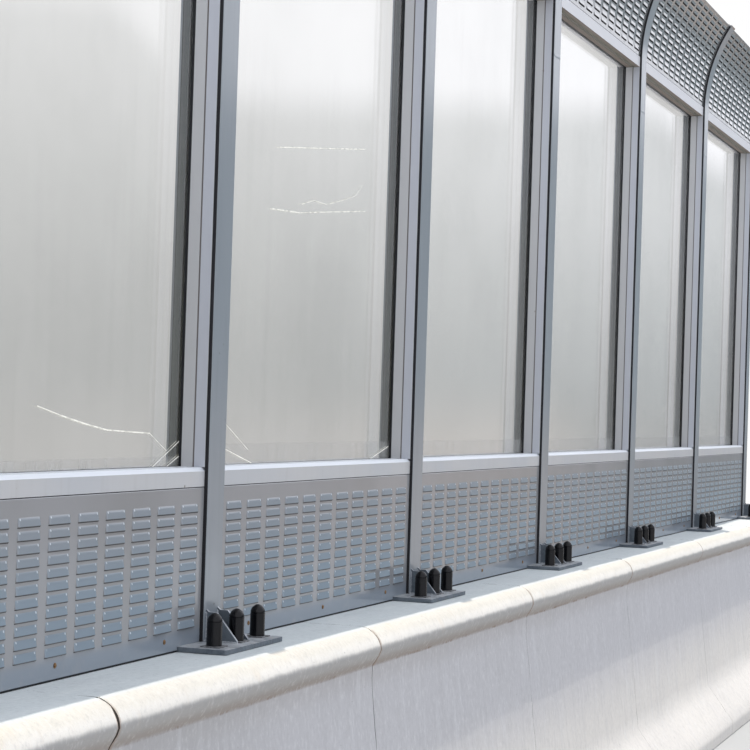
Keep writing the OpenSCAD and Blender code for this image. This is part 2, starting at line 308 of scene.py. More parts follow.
def concreteFinish():
    made = Finish("weatheredConcrete", concreteTones, **{"Specular IOR Level": 0.2})
    cloud = made.noise(1.1, 5, 0.55)
    blotch = made.noise(6.5, 4, 0.6)
    grain = made.noise(190, 3, 0.7)
    streak = made.noise(26, 4, 0.62, (1, 1, 0.055), 0.15)
    fine = made.noise(75, 3, 0.6, (1, 1, 0.07))
    height = made.axis(2) - row["topZ"]
    wander = made.noise(7, 3, 0.6, (1, 0.2, 0.2)) - 0.5
    below = height.step(-0.125, -0.140)
    level = made.facing(2).step(0.90, 0.995) * height.step(-0.012, -0.002)
    # each band of the section gets its own tone; several of these bands are painted light and shade
    edge = height + wander * 0.016 + (made.noise(38, 3, 0.6, (1, 0.3, 0.3)) - 0.5) * 0.006
    # paler low on the nose's top: painted sunlight
    made.lay(edge.step(-0.022, -0.052), "noseSunlitBand", "nose")
    # darker under the nose: painted shade
    made.lay(edge.step(-0.056, -0.072), "under")
    # darker in the crease: partly painted shade, partly dirt
    made.lay(height.step(-0.088, -0.122), "crease")
    made.lay(below, "face")
    # a band of painted shade on the face below the crease, fading downward
    shade = (height + wander * 0.03).step(-0.235, -0.140) * below
    made.lay(shade * 0.28, "shade")
    made.lay(made.axis(0).step(-3.8, -4.7) * below * 0.35, "nearEnd")
    # paler down the lower face and over the sloping foot, below a wavy edge: painted sunlight
    made.lay((height + wander * 0.10).step(-0.42, -0.80), "foot")
    made.lay(level, "top")
    made.lay((cloud.step(0.30, 0.72) - 0.5) * 0.20, "cloud")
    made.lay((blotch - 0.5) * 0.40, "blotch")
    mottle = made.noise(62, 4, 0.65, (1, 1, 0.6))
    made.lay(mottle.step(0.50, 0.70) * 0.20, "darkMottle")
    made.lay(mottle.step(0.48, 0.32) * 0.20, "paleMottle")
    # fine upright runs on the face, fainter ones round the nose
    runs = streak.step(0.44, 0.72) * 0.7 + fine.step(0.48, 0.78) * 0.5
    made.lay(runs * (0.25 + 0.75 * below) * (1 - level) * concreteTones["streakShare"], "streak")
    paleRuns = made.noise(19, 4, 0.6, (1, 1, 0.06)).step(0.52, 0.74) * below
    made.lay(paleRuns * 0.20, "paleRun")
    # long pale strokes and a few damp patches on the flat top
    strokes = made.noise(15, 4, 0.65, (0.22, 1, 1), 0.3).step(0.46, 0.68) * level
    made.lay(strokes * 0.35, "stroke")
    damp = made.noise(4.5, 4, 0.6, (0.5, 1, 1)).step(0.56, 0.72) * level
    made.lay(damp * 0.18, "damp")
    # brown line in the crease under the nose, broken into patches: partly painted shade, partly stain
    wavy = height + wander * 0.006
    line = wavy.step(-0.1395, -0.1345) * wavy.step(-0.124, -0.1325)
    patch = made.noise(6, 4, 0.65, (1, 0.3, 0.3)).step(0.48, 0.66)
    ragged = made.noise(90, 4, 0.7, (1, 0.5, 0.5)).step(0.36, 0.60)
    made.lay(line * (0.30 + patch * 0.70) * (0.30 + 0.70 * ragged), "creaseShadeAndStain")
    drip = (height + wander * 0.05).step(-0.235, -0.150) * below
    drip = drip * made.noise(34, 3, 0.6, (1, 1, 0.12)).step(0.60, 0.74)
    made.lay(drip * patch * 0.35, "drip")
    # warm blotches and pits
    warm = made.noise(9, 3, 0.5).step(0.58, 0.76) * height.step(-0.12, -0.05) * (1 - level)
    made.lay(warm * 0.20, "warm")
    pit = made.cells(27).step(0.075, 0.035) * made.noise(5, 2).step(0.55, 0.61)
    made.lay(pit * 0.70, "dark")
    speck = grain.step(0.56, 0.72)
    made.lay(speck * 0.16, "dark")
    # fine brown runs over the nose
    runs = made.noise(46, 4, 0.65, (1, 0.12, 0.12)).step(0.54, 0.72)
    runs = runs * height.step(-0.130, -0.020) * (1 - level)
    made.lay(runs * 0.16, "brownRun")
    # rust brown along the joints where they cross the nose
    beside = abs((made.axis(0) - concreteJoint).wrap(concreteStep / 2)) - ragged * 0.006
    bleed = beside.step(0.011, 0.001) * height.step(-0.140, -0.132) * height.step(-0.006, -0.020)
    made.lay(bleed * 0.55, "rust")
    # the faces inside the joints are near black: painted shade
    inside = abs(made.facing(0)).step(0.60, 0.90)
    inside = inside * abs(made.axis(0)).step(row["endX"] - 0.0008, row["endX"] - 0.0020)
    made.lay(inside * 0.85, "inside")
    bumps = grain * 0.55 + mottle * 0.6 + blotch * 0.8 - pit * 1.6 + streak * 0.25 + strokes * 0.3
    return made.close(0.82 + blotch * 0.14, bumps, 0.0022, 0.6)


steelTones = {
    "paint": (0.275, 0.300, 0.325),
    "pale": (0.310, 0.335, 0.360),
    "worn": (0.23, 0.245, 0.265),
    "rust": (0.25, 0.12, 0.055),
    "nick": (0.12, 0.11, 0.12),
}


def steelFinish():
    made = Finish("greyPostPaint", steelTones, **{"IOR": 1.5, "Coat Weight": 0.15})
    cloud = made.noise(2.2, 4, 0.55, (1, 1, 0.35))
    runs = made.noise(30, 4, 0.6, (1, 1, 0.05))
    fine = made.noise(150, 3, 0.6, (1, 1, 0.35))
    made.lay(cloud.step(0.36, 0.70), "pale", "paint")
    made.lay(runs.step(0.48, 0.74) * 0.22, "worn")
    made.lay(fine.step(0.58, 0.78) * 0.12, "pale")
    nick = made.cells(19).step(0.09, 0.04) * made.noise(3.1, 2).step(0.62, 0.67)
    made.lay(nick * 0.7, "nick")
    # a little rust at the open ends of the heads and at the foot welds
    height = made.axis(2) - row["topZ"]
    ends = height.step(3.430, 3.440) * made.noise(60, 3, 0.6).step(0.38, 0.55)
    made.lay(ends * 0.85, "rust")
    foot = height.step(0.032, 0.017) * made.noise(42, 3, 0.6).step(0.52, 0.66)
    made.lay(foot * 0.5, "rust")
    return made.close(0.13 + runs * 0.06 + fine * 0.04, fine * 0.10 + made.noise(9, 2), 0.0008, 0.35)


plateTones = {
    "zinc": (0.40, 0.415, 0.44),
    "pale": (0.56, 0.58, 0.60),
    "dark": (0.19, 0.205, 0.225),
    "flank": (0.075, 0.100, 0.125),
    "grit": (0.14, 0.13, 0.125),
    "dust": (0.74, 0.73, 0.70),
}


def plateFinish():
    made = Finish("mottledZinc", plateTones, Metallic=0.2)
    mottle = made.noise(60, 5, 0.68)
    patch = made.noise(11, 3, 0.5)
    made.lay(mottle.step(0.38, 0.60), "zinc", "dark")
    made.lay(patch.step(0.44, 0.68) * 0.65, "pale")
    grit = made.noise(210, 2, 0.6).step(0.62, 0.75)
    made.lay(grit * 0.30, "grit")
    top = made.facing(2).step(0.6, 0.95)
    dust = top * made.noise(25, 4, 0.6).step(0.35, 0.7)
    made.lay(dust * 0.35, "dust")
    # the sides of the ribs and the plate's cut edges are darker: painted shade
    height = made.axis(2) - row["topZ"]
    side = abs(made.facing(0)).step(0.7, 0.9) * height.step(0.0195, 0.0215)
    made.lay(side * 0.80, "flank")
    edge = height.step(0.0162, 0.0150) * (1 - top)
    made.lay(edge * 0.75, "flank")
    return made.close(0.48 + mottle * 0.22, mottle * 0.8 + grit * 0.5, 0.0008, 0.5)


def mottledFinish(name, low, high, scale, detail, steps, metal, rough, roughShare, distance, strength):
    # two tones in small mottles, for the small parts
    made = Finish(name, {}, Metallic=metal)
    mottle = made.noise(scale, detail, 0.6)
    made.lay(mottle.step(*steps), high, low)
    return made.close(rough + mottle * roughShare, mottle, distance, strength)


def rubberFinish(name, tone, dustTone, dustShare, rough):
    made = Finish(name, {}, **{"Specular IOR Level": 0.25})
    cloud = made.noise(38, 4, 0.6)
    grit = made.noise(420, 2, 0.6)
    made.lay(cloud.step(0.35, 0.7), tuple(1.5 * c for c in tone), tone)
    made.lay(made.facing(2).step(0.15, 0.95) * cloud.step(0.38, 0.75) * dustShare, dustTone)
    return made.close(rough + cloud * 0.15, grit * 0.5 + cloud * 0.5, 0.0005, 0.5)


sheetTones = {
    "paint": (0.28, 0.28, 0.285),
    "pale": (0.32, 0.32, 0.33),
    "foot": (0.28, 0.32, 0.37),
    "hood": (0.305, 0.33, 0.36),
    "hoodLow": (0.285, 0.345, 0.40),
    "curvedPaint": (0.185, 0.19, 0.192),
    "curvedHood": (0.20, 0.205, 0.207),
    "dust": (0.46, 0.43, 0.40),
    "lip": (0.085, 0.065, 0.055),
    "cornerGlint": (0.88, 0.92, 0.97),
}


def louvreSpot(across, up, first, pitch):
    # where a point lies on its louvre: from the middle, and above the lip
    v = louvre
    bay = (across - bayPlaces[0]).wrap(row["bayLength"] / 2)
    column = bay.wrap(v["pitch"] / 2)
    height = (up - first - pitch / 2).wrap(pitch / 2) + pitch / 2
    return abs(column), height


def sheetFinish(name, rough, coat, curved):
    v = louvre
    made = Finish(name, sheetTones, **{"IOR": 1.5, "Coat Weight": coat, "Coat Roughness": 0.05})
    cloud = made.noise(1.7, 4, 0.5)
    fine = made.noise(90, 3, 0.6)
    flow = made.noise(6.0, 2, 0.4, (1, 1, 1.5))
    height = made.axis(2) - row["topZ"]
    if curved:
        depth = made.axis(1) - row["faceY"] + row["headRadius"]
        rise = height - row["bend"]
        turn = rise.maths("ARCTAN2", rise, depth)
        column, lift = louvreSpot(made.axis(0), turn * headFront, *curvedSpacing())
        grime = made.noise(13, 4, 0.6, (1, 1, 0.5)).step(0.52, 0.76) * 0.8
        made.lay(cloud.step(0.34, 0.70) * 0.5, "curvedHood", "curvedPaint")
        onRow = 1
    else:
        column, lift = louvreSpot(made.axis(0), height, v["lowerFirst"], v["rowPitch"])
        grime = height.step(0.07, 0.01) * made.noise(16, 4, 0.65).step(0.50, 0.74)
        made.lay(cloud.step(0.34, 0.70), "pale", "paint")
        # a bluish band along the foot of the sheet: painted reflection of the flat top
        made.lay(height.step(0.08, 0.04) * 0.8, "foot")
        onRow = height.step(v["lowerFirst"] - 0.003, v["lowerFirst"] - 0.002) * height.step(0.455, 0.454)
    made.lay(grime * 0.20, "dust")
    made.lay(fine.step(0.60, 0.80) * 0.10, "pale")
    # the hoods are paler and bluer as painted skylight; low on the flat panels they are bluer still, a painted
    # reflection of the flat top
    half = v["width"] / 2
    hood = column.step(half - 0.0005, half - 0.003) * lift.step(v["height"], v["height"] - 0.003) * onRow
    hoodSkylight = "curvedHood"
    if not curved:
        hoodSkylight = made.mix(height.step(0.40, 0.20), "hood", "hoodLow")
    made.lay(hood * 0.85, hoodSkylight)
    # bright spots at the hoods' upper corners: painted highlights
    away = ((column - 0.0500) ** 2 + (lift - 0.0205) ** 2) ** 0.5
    cornerGlint = away.step(0.0044, 0.0018) * onRow * made.noise(11, 2).step(0.30, 0.50)
    made.lay(cornerGlint * (0.3 if curved else 0.55), "cornerGlint")
    # dark brown along the lips and beside the hoods: partly painted shade, partly dirt
    lip = lift.step(0.0030, 0.0008) * column.step(half, half - 0.002)
    beside = abs(column - half + 0.0005).step(0.0022, 0.0008) * lift.step(v["height"], v["height"] - 0.004)
    made.lay((lip * 0.65).greater(beside * 0.14) * onRow, "lip")
    rough = rough + fine * 0.03 + grime * 0.10 + cornerGlint * 0.2
    return made.close(rough, flow * 0.5 + fine * 0.005, 0.0030, 1.0)


frameTones = {
    "coat": (0.60, 0.59, 0.59),
    "cool": (0.56, 0.565, 0.585),
    "high": (0.79, 0.78, 0.80),
    "behind": (0.055, 0.065, 0.065),
    "sill": (0.92, 0.94, 0.98),
    "stile": (0.56, 0.575, 0.625),
    "rear": (0.565, 0.56, 0.56),
    "dust": (0.42, 0.39, 0.35),
    "brown": (0.185, 0.145, 0.115),
    "olive": (0.135, 0.122, 0.085),
    "joint": (0.11, 0.085, 0.07),
    "nick": (0.16, 0.11, 0.075),
}


def frameFinish():
    made = Finish("paleFrameCoat", frameTones, **{"Metallic": 0.1, "Coat IOR": 1.5})
    cloud = made.noise(2.6, 4, 0.55)
    runs = made.noise(34, 4, 0.6, (1, 1, 0.08))
    fine = made.noise(130, 3, 0.6)
    made.lay(cloud.step(0.34, 0.7), "cool", "coat")
    made.lay(runs.step(0.5, 0.78) * 0.15, "dust")
    depth = made.axis(1) - row["faceY"] - row["panelFront"]
    # paler on the top rail; near white on every face that looks up, such as the sills, as painted skylight
    made.lay(made.axis(2).step(4.00, 4.02) * 0.85, "high")
    made.lay(made.facing(2).step(0.30, 0.60) * 0.85, "sill")
    # the reveals: cool in front of the joint, warmer behind it, and near black behind the pane as painted shade
    reveal = abs(made.facing(0)).step(0.5, 0.9) * depth.step(0.0005, 0.002)
    side = made.mix(depth.step(0.038, 0.0425), "stile", "rear")
    side = made.mix(depth.step(0.090, 0.102), side, "behind")
    made.lay(reveal * 0.9, side)
    # the underside of the top rail has held its dirt, olive between two brown bands
    under = made.facing(2).step(-0.5, -0.9) * made.axis(2).step(3.9, 4.0) * depth.step(0.090, 0.086)
    wavy = depth + (made.noise(3, 3, 0.6) - 0.5) * 0.004
    olive = wavy.step(0.018, 0.022) * wavy.step(0.058, 0.052)
    dirt = made.mix(olive, "brown", "olive")
    made.lay(under * (0.85 + 0.15 * cloud), dirt)
    groove = depth.step(0.0375, 0.0385) * depth.step(0.0435, 0.0425) * (1 - depth.step(0.060, 0.061))
    made.lay(groove * 0.85, "joint")
    nick = made.cells(15).step(0.085, 0.045) * made.noise(2.3, 2).step(0.60, 0.65)
    made.lay(nick * 0.75, "nick")
    made.give("Coat Weight", 0.10 - under * 0.10)
    return made.close(0.38 + fine * 0.10 + under * 0.45, fine * 0.2 + cloud * 0.6, 0.0009, 0.4)


paneTones = {
    "film": (0.16, 0.155, 0.115),
    "low": (0.12, 0.12, 0.085),
    "dust": (0.52, 0.51, 0.47),
    "scratch": (0.95, 0.93, 0.86),
    "glint": (0.34, 0.33, 0.29),
    "clear": 0.055,      # how much the clean pane shows of itself
    "mirror": 0.64,      # how much of a glass pane's mirroring it has
}
# scratches: (x, height) at each end and half the width
paneScratches = [
    (-4.98, 0.742, -4.84, 0.716, 0.0020),
    (-4.84, 0.716, -4.70, 0.694, 0.0034),
    (-4.70, 0.694, -4.56, 0.676, 0.0030),
    (-4.56, 0.676, -4.28, 0.666, 0.0032),
    (-4.28, 0.666, -4.16, 0.612, 0.0016),
    (-4.26, 0.560, -4.07, 0.640, 0.0024),
    (-4.16, 0.560, -4.05, 0.600, 0.0024),
    (-3.74, 0.620, -3.47, 0.560, 0.0026),
    (-3.72, 0.700, -3.52, 0.610, 0.0016),
    (-2.30, 0.560, -2.08, 0.610, 0.0030),
    (-3.37, 1.447, -3.12, 1.458, 0.0040),
    (-3.12, 1.458, -2.44, 1.532, 0.0032),
    (-3.32, 1.668, -2.46, 1.772, 0.0040),
    (-3.10, 1.490, -2.98, 1.517, 0.0022),
    (-2.98, 1.517, -2.85, 1.515, 0.0022),
    (-2.85, 1.515, -2.66, 1.554, 0.0022),
    (-2.66, 1.554, -2.55, 1.580, 0.0022),
    (-2.55, 1.580, -2.48, 1.630, 0.0022),
    (-1.74, 0.620, -1.62, 0.560, 0.0034),
]


def paneFinish():
    made = Finish("dustyPane", paneTones, **{"IOR": 1.5, "Specular IOR Level": 0.6, "Emission Strength": 1.0})
    x, z = made.axis(0), made.axis(2) - row["topZ"]
    haze = made.noise(1.3, 4, 0.55)
    runs = made.noise(22, 4, 0.62, (1, 1, 0.035), 0.2)
    grit = made.noise(260, 2, 0.6).step(0.60, 0.72)
    # a dusty band along the foot, lower in the first bay
    edge = 0.592 + 0.038 * x.step(-4.01, -3.99)
    foot = (z - edge).step(0.0035, -0.0035) * (0.55 + 0.45 * runs.step(0.35, 0.65))
    marks = 0
    for (ax, az, bx, bz, half) in paneScratches:
        length = math.hypot(bx - ax, bz - az)
        ux, uz = (bx - ax) / length, (bz - az) / length
        along = ((x - ax) * ux + (z - az) * uz).greater(0).lesser(length)
        away = ((x - ax - along * ux) ** 2 + (z - az - along * uz) ** 2) ** 0.5
        marks = away.step(half, half * 0.35).greater(marks)
    marks = marks * (0.65 + 0.35 * made.noise(30, 3, 0.6).step(0.36, 0.56))
    dust = haze.step(0.35, 0.75) * 0.05 + runs.step(0.45, 0.75) * 0.02 + foot * 0.22 + grit * 0.02
    low = z.step(2.3, 0.7)
    made.lay(low, "low", "film")
    made.lay(dust * 1.2 + foot * 0.6, "dust")
    made.lay(marks, "scratch")
    # the scratches glow with an emitted glint: painted highlight
    made.give("Emission Color", made.mix(marks, (0, 0, 0), "glint"))
    made.give("Alpha", paneTones["clear"] + low * 0.25 + (dust + marks * 0.8) * 0.8)
    made.mirror(paneTones["mirror"], 0.03)
    return made.close(0.05 + dust * 0.5, made.noise(1.6, 1), 0.002, 0.1)


finishes = {
    "concrete": concreteFinish(),
    "steel": steelFinish(),
    "plate": plateFinish(),
    "washer": mottledFinish("darkWasher", (0.13, 0.13, 0.135), (0.30, 0.30, 0.30), 80, 4, (0.38, 0.66),
                            0.3, 0.50, 0.25, 0.0005, 0.5),
    "cap": rubberFinish("blackCapRubber", (0.0022, 0.0022, 0.0032), (0.05, 0.05, 0.06), 0.06, 0.17),
    "seal": rubberFinish("blackSeal", (0.007, 0.007, 0.009), (0.12, 0.12, 0.12), 0.25, 0.45),
    "sheet": sheetFinish("panelSheet", 0.13, 0.1, False),
    "curved": sheetFinish("curvedSheet", 0.10, 0.65, True),
    "hollow": mottledFinish("louvreHollow", (0.004, 0.005, 0.006), (0.018, 0.018, 0.018), 240, 3,
                            (0.3, 0.7), 0.0, 0.85, 0.0, 0.001, 0.6),
    "frame": frameFinish(),
    "pane": paneFinish(),
    "screw": mottledFinish("rustyScrew", (0.10, 0.055, 0.03), (0.42, 0.24, 0.10), 300, 4, (0.35, 0.65),
                           0.4, 0.72, 0.0, 0.0008, 0.6),
    "rivet": mottledFinish("paleRivet", (0.42, 0.43, 0.45), (0.62, 0.63, 0.65), 200, 3, (0.35, 0.65),
                           0.5, 0.35, 0.1, 0.0003, 0.4),
}
print("finishes ready:", len(finishes))


# Mesh helpers

def latticeNoise(points, size, seed):
    # smooth noise from -1 to 1 at each point, the same on every run
    grid = np.asarray(points, float) / size + 31.7 * seed + 500
    low = np.floor(grid).astype(np.int64)
    part = grid - low
    part = part * part * (3 - 2 * part)
    total = np.zeros(len(grid))
    for corner in range(8):
        step = np.array([corner & 1, corner >> 1 & 1, corner >> 2 & 1])
        cell = low + step
        mixed = (cell[:, 0] * 73856093 ^ cell[:, 1] * 19349663 ^ cell[:, 2] * 83492791) & 0x7FFFFFFF
        mixed = ((mixed ^ (mixed >> 13)) * 1274126177) & 0x7FFFFFFF
        level = ((mixed ^ (mixed >> 16)) & 0xFFFF) / 32767.5 - 1
        total += level * np.where(step == 1, part, 1 - part).prod(axis=1)
    return total


def roundedOutline(corners, steps=3):
    # corners are (a, b, radius) in order; each becomes a small arc
    points = []
    count = len(corners)
    for k in range(count):
        before, here, after = (np.array(corners[(k + d) % count][:2], float) for d in (-1, 0, 1))
        radius = corners[k][2]
        if radius <= 0:
            points.append(tuple(here))
            continue
        one, two = before - here, after - here
        one, two = one / np.linalg.norm(one), two / np.linalg.norm(two)
        half = math.acos(max(-1, min(1, float(one @ two)))) / 2
        reach = radius / math.tan(half)
        middle = (one + two) / np.linalg.norm(one + two)
        centre = here + middle * radius / math.sin(half)
        start, end = here + one * reach - centre, here + two * reach - centre
        first = math.atan2(start[1], start[0])
        turn = (math.atan2(end[1], end[0]) - first + math.pi) % (2 * math.pi) - math.pi
        for s in range(steps + 1):
            angle = first + turn * s / steps
            points.append((centre[0] + radius * math.cos(angle), centre[1] + radius * math.sin(angle)))
    return points


def fannedVolume(points, groups):
    # the room inside a closed body, below 0 where its faces look inward
    points = points - points.mean(axis=0)
    total = 0.0
    for group in groups:
        for k in range(1, group.shape[1] - 1):
            one, two, three = (points[group[:, c]] for c in (0, k, k + 1))
            total += (one * np.cross(two, three)).sum() / 6
    return total


def taken(items, name, kind, wide=1):
    # one value, or so many, of each of a mesh's items
    values = np.empty(len(items) * wide, kind)
    items.foreach_get(name, values)
    return values


class Shape:
    # gathers points and faces, then becomes one object
    def __init__(self):
        self.points, self.sets, self.count = [], [], 0

    def add(self, points, faces, slot=0):
        points = np.asarray(points, float).reshape(-1, 3)
        self.points.append(points)
        for group in faces if isinstance(faces, list) else [faces]:
            self.sets.append((np.asarray(group, np.int64) + self.count, slot))
        self.count += len(points)

    def grid(self, table, slot=0, flip=False, whole=False):
        # table is stations x outline x 3; a whole body is joined round and capped,
        # and turned so that its faces look outward
        table = np.asarray(table, float)
        stations, around = table.shape[:2]
        index = np.arange(stations * around).reshape(stations, around)
        nextOne = np.roll(index, -1, axis=1) if whole else index[:, 1:]
        here = index if whole else index[:, :-1]
        groups = [np.stack([here[:-1], nextOne[:-1], nextOne[1:], here[1:]], axis=-1).reshape(-1, 4)]
        if whole:
            groups += [index[0][None, ::-1], index[-1][None]]
            flip = fannedVolume(table.reshape(-1, 3), groups) < 0
        if flip:
            groups = [group[:, ::-1] for group in groups]
        self.add(table.reshape(-1, 3), groups, slot)

    def body(self, table):
        self.grid(table, whole=True)

    def cornerNormals(self, mesh, sharp):
        # large flat faces stay flat beside small roundings: each corner takes the
        # normals round its point that lie within the angle, weighted by area
        loops = taken(mesh.loops, "vertex_index", np.int64)
        sizes = taken(mesh.polygons, "loop_total", np.int64)
        normals = taken(mesh.polygons, "normal", float, 3).reshape(-1, 3)
        areas = taken(mesh.polygons, "area", float)
        owner = np.repeat(np.arange(len(sizes)), sizes)
        order = np.argsort(loops, kind="stable")
        counts = np.bincount(loops, minlength=len(mesh.vertices))
        starts = np.concatenate([[0], np.cumsum(counts)[:-1]])
        around = counts[loops[order]]
        one = np.repeat(np.arange(len(order)), around)
        within = np.arange(len(one)) - np.repeat(np.cumsum(around) - around, around)
        two = starts[loops[order]][one] + within
        faceOne, faceTwo = owner[order][one], owner[order][two]
        near = (normals[faceOne] * normals[faceTwo]).sum(axis=1) > math.cos(math.radians(sharp))
        near |= faceOne == faceTwo
        weighted = normals[faceTwo] * (areas[faceTwo] * near)[:, None]
        total = np.stack([np.bincount(one, weights=weighted[:, k], minlength=len(order))
                          for k in range(3)], axis=1)
        total /= np.maximum(np.linalg.norm(total, axis=1), 1e-12)[:, None]
        corners = np.empty_like(total)
        corners[order] = total
        return corners

    def build(self, name, looks, sharp=35):
        mesh = bpy.data.meshes.new(name)
        points = np.concatenate(self.points)
        mesh.vertices.add(len(points))
        mesh.vertices.foreach_set("co", points.astype(np.float32).ravel())
        loops = np.concatenate([group.ravel() for group, _ in self.sets])
        sizes = np.concatenate([np.full(len(group), group.shape[1]) for group, _ in self.sets])
        starts = np.concatenate([[0], np.cumsum(sizes)[:-1]])
        slots = np.concatenate([np.full(len(group), slot) for group, slot in self.sets])
        mesh.loops.add(len(loops))
        mesh.loops.foreach_set("vertex_index", loops.astype(np.int32))
        mesh.polygons.add(len(sizes))
        mesh.polygons.foreach_set("loop_start", starts.astype(np.int32))
        mesh.polygons.foreach_set("material_index", slots.astype(np.int32))
        mesh.polygons.foreach_set("use_smooth", np.ones(len(sizes), bool))
        mesh.update(calc_edges=True)
        mesh.validate()
        for look in looks:
            mesh.materials.append(finishes[look])
        made = bpy.data.objects.new(name, mesh)
        bpy.context.scene.collection.objects.link(made)
        mesh.normals_split_custom_set(self.cornerNormals(mesh, sharp).tolist())
        return made


def finishPiece(made, slot, *nodes):
    if nodes:
        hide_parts(*nodes)
    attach(made, "root")
    return made


def lathe(shape, profile, centre, steps):
    # profile of (radius, height) from the foot up, round an upright axis
    turns = [2 * math.pi * s / steps for s in range(steps)]
    table = [[(centre[0] + r * math.cos(t), centre[1] + r * math.sin(t), centre[2] + h) for t in turns]
             for r, h in profile]
    shape.body(table)


# Concrete

concrete = {
    "backReach": 0.330,
    "noseReach": 0.288,
    "noseRound": 0.078,
    "faceReach": 0.257,
    "leanDepth": 0.205,
    "slopeReach": 0.340,
    "slopeDepth": 0.896,
    "footReach": 0.500,
    "footDepth": 1.107,
    "joints": (0.0080, 0.0032, 0.0018, 0.0022, 0.0018, 0.0018),   # one is open, the rest are cracks
    "unevenness": 0.0016,
    "noseSwell": 0.0050,
    "chip": 0.005,
    "chipReach": 0.012,
    "mortarDepth": 0.02,
    "crease": ((-0.281, -0.098), (-0.267, -0.121), (-0.260, -0.129)),
    "faceLevels": (-0.135, -0.150, -0.178),
    "backLevels": (-1.188, -0.9, -0.6, -0.3, -0.004),
    "edge": 0.004,
    "endSteps": (0, 0.0015, 0.004, 0.009, 0.018),
    "endReach": 0.03,    # where the even steps along a length start
    "step": 0.026,
}


def concreteOutline():
    c = concrete
    noseX = c["noseRound"] - c["noseReach"]
    foot, back = -row["topZ"], c["backReach"]
    points = [(back - c["edge"], 0.0)]
    points += [(d, 0.0) for d in np.linspace(0.29, noseX, 12)]
    for t in np.linspace(6, 90, 13):
        angle = math.radians(t)
        points.append((noseX - c["noseRound"] * math.sin(angle),
                       c["noseRound"] * (math.cos(angle) - 1)))
    points += c["crease"]
    points += [(-c["faceReach"], z) for z in (*c["faceLevels"], -c["leanDepth"])]
    slopes = [(c["faceReach"], c["leanDepth"]), (c["slopeReach"], c["slopeDepth"]),
              (c["footReach"], c["footDepth"])]
    for (reachOne, deepOne), (reachTwo, deepTwo), count in zip(slopes, slopes[1:], (10, 5)):
        points += [(-reachOne - (reachTwo - reachOne) * s, -deepOne - (deepTwo - deepOne) * s)
                   for s in np.linspace(0, 1, count)[1:]]
    points += [(-c["footReach"], -1.14), (-c["footReach"], -1.188), (-c["footReach"] + c["edge"], foot),
               (-0.2, foot), (0.1, foot), (back - c["edge"], foot)]
    points += [(back, z) for z in c["backLevels"]]
    return np.array(points)


def concreteRing(outline, outward, x, edge):
    # one section of the casting: uneven all over, swollen on the nose and
    # chipped within a short way of its ends
    c = concrete
    at = np.stack([np.full(len(outline), x), outline[:, 0], outline[:, 1]], axis=1)
    sunk = 0.5 + 0.5 * (0.6 * latticeNoise(at * [1, 2, 2], 0.35, 1)
                        + 0.4 * latticeNoise(at * [1, 2, 2], 0.07, 2))
    inward = np.clip(sunk, 0, 1) * c["unevenness"]
    onNose = np.clip((-outline[:, 0] - 0.20) / 0.05, 0, 1)
    onNose = onNose * np.clip((outline[:, 1] + 0.135) / 0.02, 0, 1)
    swell = 0.5 + 0.5 * (0.65 * latticeNoise(at * [1, 0.4, 0.4], 0.42, 11)
                         + 0.35 * latticeNoise(at * [1, 0.8, 0.8], 0.11, 12))
    inward = inward + np.clip(swell, 0, 1) * c["noseSwell"] * onNose
    bite = max(0.0, 1 - edge / c["chipReach"]) ** 1.5
    bite = bite * (1 - 0.85 * np.clip(outline[:, 1] / c["chipReach"] + 1.2, 0, 1))
    ragged = np.clip(0.35 + latticeNoise(at, 0.030, 5), 0, 1)
    inward = inward + bite * c["chip"] * ragged
    ring = outline - outward * inward[:, None]
    ring[:, 1] = np.maximum(ring[:, 1], -row["topZ"])
    return [place(x, a, b) for a, b in ring]


def makeConcrete():
    c = concrete
    outline = concreteOutline()
    ahead = np.roll(outline, -1, axis=0) - np.roll(outline, 1, axis=0)
    # outward directions of a ring that runs to the front and down
    outward = np.stack([-ahead[:, 1], ahead[:, 0]], axis=1)
    outward /= np.linalg.norm(outward, axis=1)[:, None]
    if (outward[0] @ np.array([1.0, 1.0])) < 0:
        outward = -outward
    shape = Shape()
    middles = [concreteJoint + concreteStep * k for k in range(len(c["joints"]))]
    edges = [-row["endX"]]
    for middle, gap in zip(middles, c["joints"]):
        edges += [middle - gap / 2, middle + gap / 2]
    edges.append(row["endX"])
    near, reach = c["endSteps"], c["endReach"]
    for start, end in zip(edges[::2], edges[1::2]):
        inner = np.linspace(start + reach, end - reach, max(2, int((end - start) / c["step"])))
        xs = [start + n for n in near] + list(inner) + [end - n for n in near[::-1]]
        rings = [concreteRing(outline, outward, x, min(x - start, end - x)) for x in xs]
        shape.body(rings)
    # mortar fills the joints flush with the flat top
    for middle, gap in zip(middles, c["joints"]):
        half = gap / 2 + 0.001
        bars = []
        for d in np.linspace(c["noseRound"] - c["noseReach"] - 0.012, c["backReach"] - 0.012, 40):
            sunk = 0.0011 + 0.0007 * float(latticeNoise(np.array([[middle, d, 0]]), 0.03, 21)[0])
            bars.append([place(middle + side * half, d, -deep) for side, deep in
                         ((-1, sunk), (1, sunk), (1, c["mortarDepth"]), (-1, c["mortarDepth"]))])
        shape.body(bars)
    made = shape.build("castParapet", ["concrete"], sharp=48)
    return finishPiece(made, "concrete", "parapet")


makeConcrete()
print("concrete ready")


# Posts

post = {
    "halfWidth": 0.0625,
    "depth": 0.150,
    "flange": 0.009,
    "halfWeb": 0.0035,
    "root": 0.006,
    "edge": 0.0016,
    "foot": 0.016,
    "beadHeights": (2.572, 2.560, 2.586, 2.557, 2.574, 2.566, 2.572),
    "beadStand": 0.0014,
    "beadHalf": 0.0075,
}


